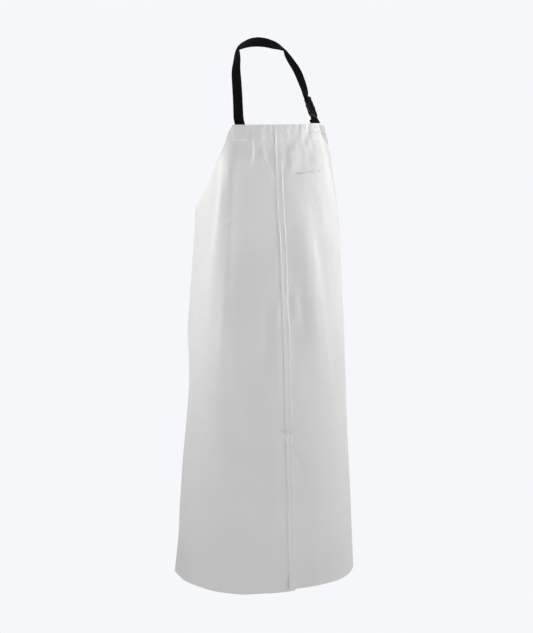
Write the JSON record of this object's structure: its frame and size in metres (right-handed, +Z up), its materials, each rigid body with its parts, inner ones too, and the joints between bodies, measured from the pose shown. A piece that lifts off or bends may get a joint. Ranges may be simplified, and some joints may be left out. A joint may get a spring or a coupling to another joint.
{
  "type": "butcher apron",
  "caption": "Long bib apron of heavy coated cloth in two lapped panels, with an adjustable webbing neck strap and a waist strap, each closed by a side-release buckle.",
  "frame": {"origin": "inner face of the neck strap at the middle of the nape, where the apron hangs on the wearer's neck", "axes": "+Z up, -Y is the way the wearer faces, +X is the wearer's left"},
  "size_m": [0.5045, 0.3448, 1.4203],
  "materials": {
    "coated_cloth": "semi-gloss white polymer coating on fine woven cloth",
    "webbing": "black woven webbing, matt",
    "buckle_plastic": "moulded black plastic, satin",
    "thread": "white polyester thread"
  },
  "bodies": {
    "apron": {"panel_left": "coated_cloth", "panel_right": "coated_cloth", "centre_seam_tape": "coated_cloth", "top_hem_facing": "coated_cloth", "armhole_facing_left": "coated_cloth", "armhole_facing_right": "coated_cloth", "neck_strap": "webbing", "neck_anchor_loop": "webbing", "neck_patch_left": "coated_cloth", "neck_patch_right": "coated_cloth", "waist_strap_left": "webbing", "waist_strap_right": "webbing", "waist_patch_left": "coated_cloth", "waist_patch_right": "coated_cloth", "neck_stitching_left": "thread", "neck_stitching_right": "thread", "waist_stitching_left": "thread", "waist_stitching_right": "thread", "neck_buckle_socket": "buckle_plastic", "waist_buckle_socket": "buckle_plastic"},
    "neck_plug": {"neck_buckle_plug": "buckle_plastic"},
    "neck_prong_a": {"neck_buckle_prong_a": "buckle_plastic"},
    "neck_prong_b": {"neck_buckle_prong_b": "buckle_plastic"},
    "waist_plug": {"waist_buckle_plug": "buckle_plastic"},
    "waist_prong_a": {"waist_buckle_prong_a": "buckle_plastic"},
    "waist_prong_b": {"waist_buckle_prong_b": "buckle_plastic"}
  },
  "joints": [
    {"name": "neck_plug_slide", "type": "slide", "parent": "apron", "child": "neck_plug", "axis": [-0.1374, 0.4723, 0.8707], "range_m": [0, 0.03], "deforming": ["neck_strap", "neck_buckle_prong_a", "neck_buckle_prong_b"]},
    {"name": "neck_prong_a_squeeze", "type": "hinge", "parent": "neck_plug", "child": "neck_prong_a", "pos_m": [0.10594, -0.11548, -0.168], "axis": [-0.6089, 0.653, -0.4503], "range_deg": [0, 14], "stiffness_Nm_per_rad": 0.004},
    {"name": "neck_prong_b_squeeze", "type": "hinge", "parent": "neck_plug", "child": "neck_prong_b", "pos_m": [0.0911, -0.12673, -0.16424], "axis": [-0.6089, 0.653, -0.4503], "range_deg": [-14, 0], "stiffness_Nm_per_rad": 0.004},
    {"name": "waist_plug_slide", "type": "slide", "parent": "apron", "child": "waist_plug", "axis": [-1, 0, 0], "range_m": [0, 0.03], "deforming": ["waist_strap_right", "waist_buckle_prong_a", "waist_buckle_prong_b"]},
    {"name": "waist_prong_a_squeeze", "type": "hinge", "parent": "waist_plug", "child": "waist_prong_a", "pos_m": [-0.0056, 0.0807, -0.4555], "axis": [0, -1, 0], "range_deg": [0, 14], "stiffness_Nm_per_rad": 0.004},
    {"name": "waist_prong_b_squeeze", "type": "hinge", "parent": "waist_plug", "child": "waist_prong_b", "pos_m": [-0.0056, 0.0807, -0.4365], "axis": [0, -1, 0], "range_deg": [-14, 0], "stiffness_Nm_per_rad": 0.004}
  ],
  "couplings": [
    {"joint": "neck_prong_b_squeeze", "follows": "neck_prong_a_squeeze", "ratio": -1},
    {"joint": "waist_prong_b_squeeze", "follows": "waist_prong_a_squeeze", "ratio": -1}
  ]
}
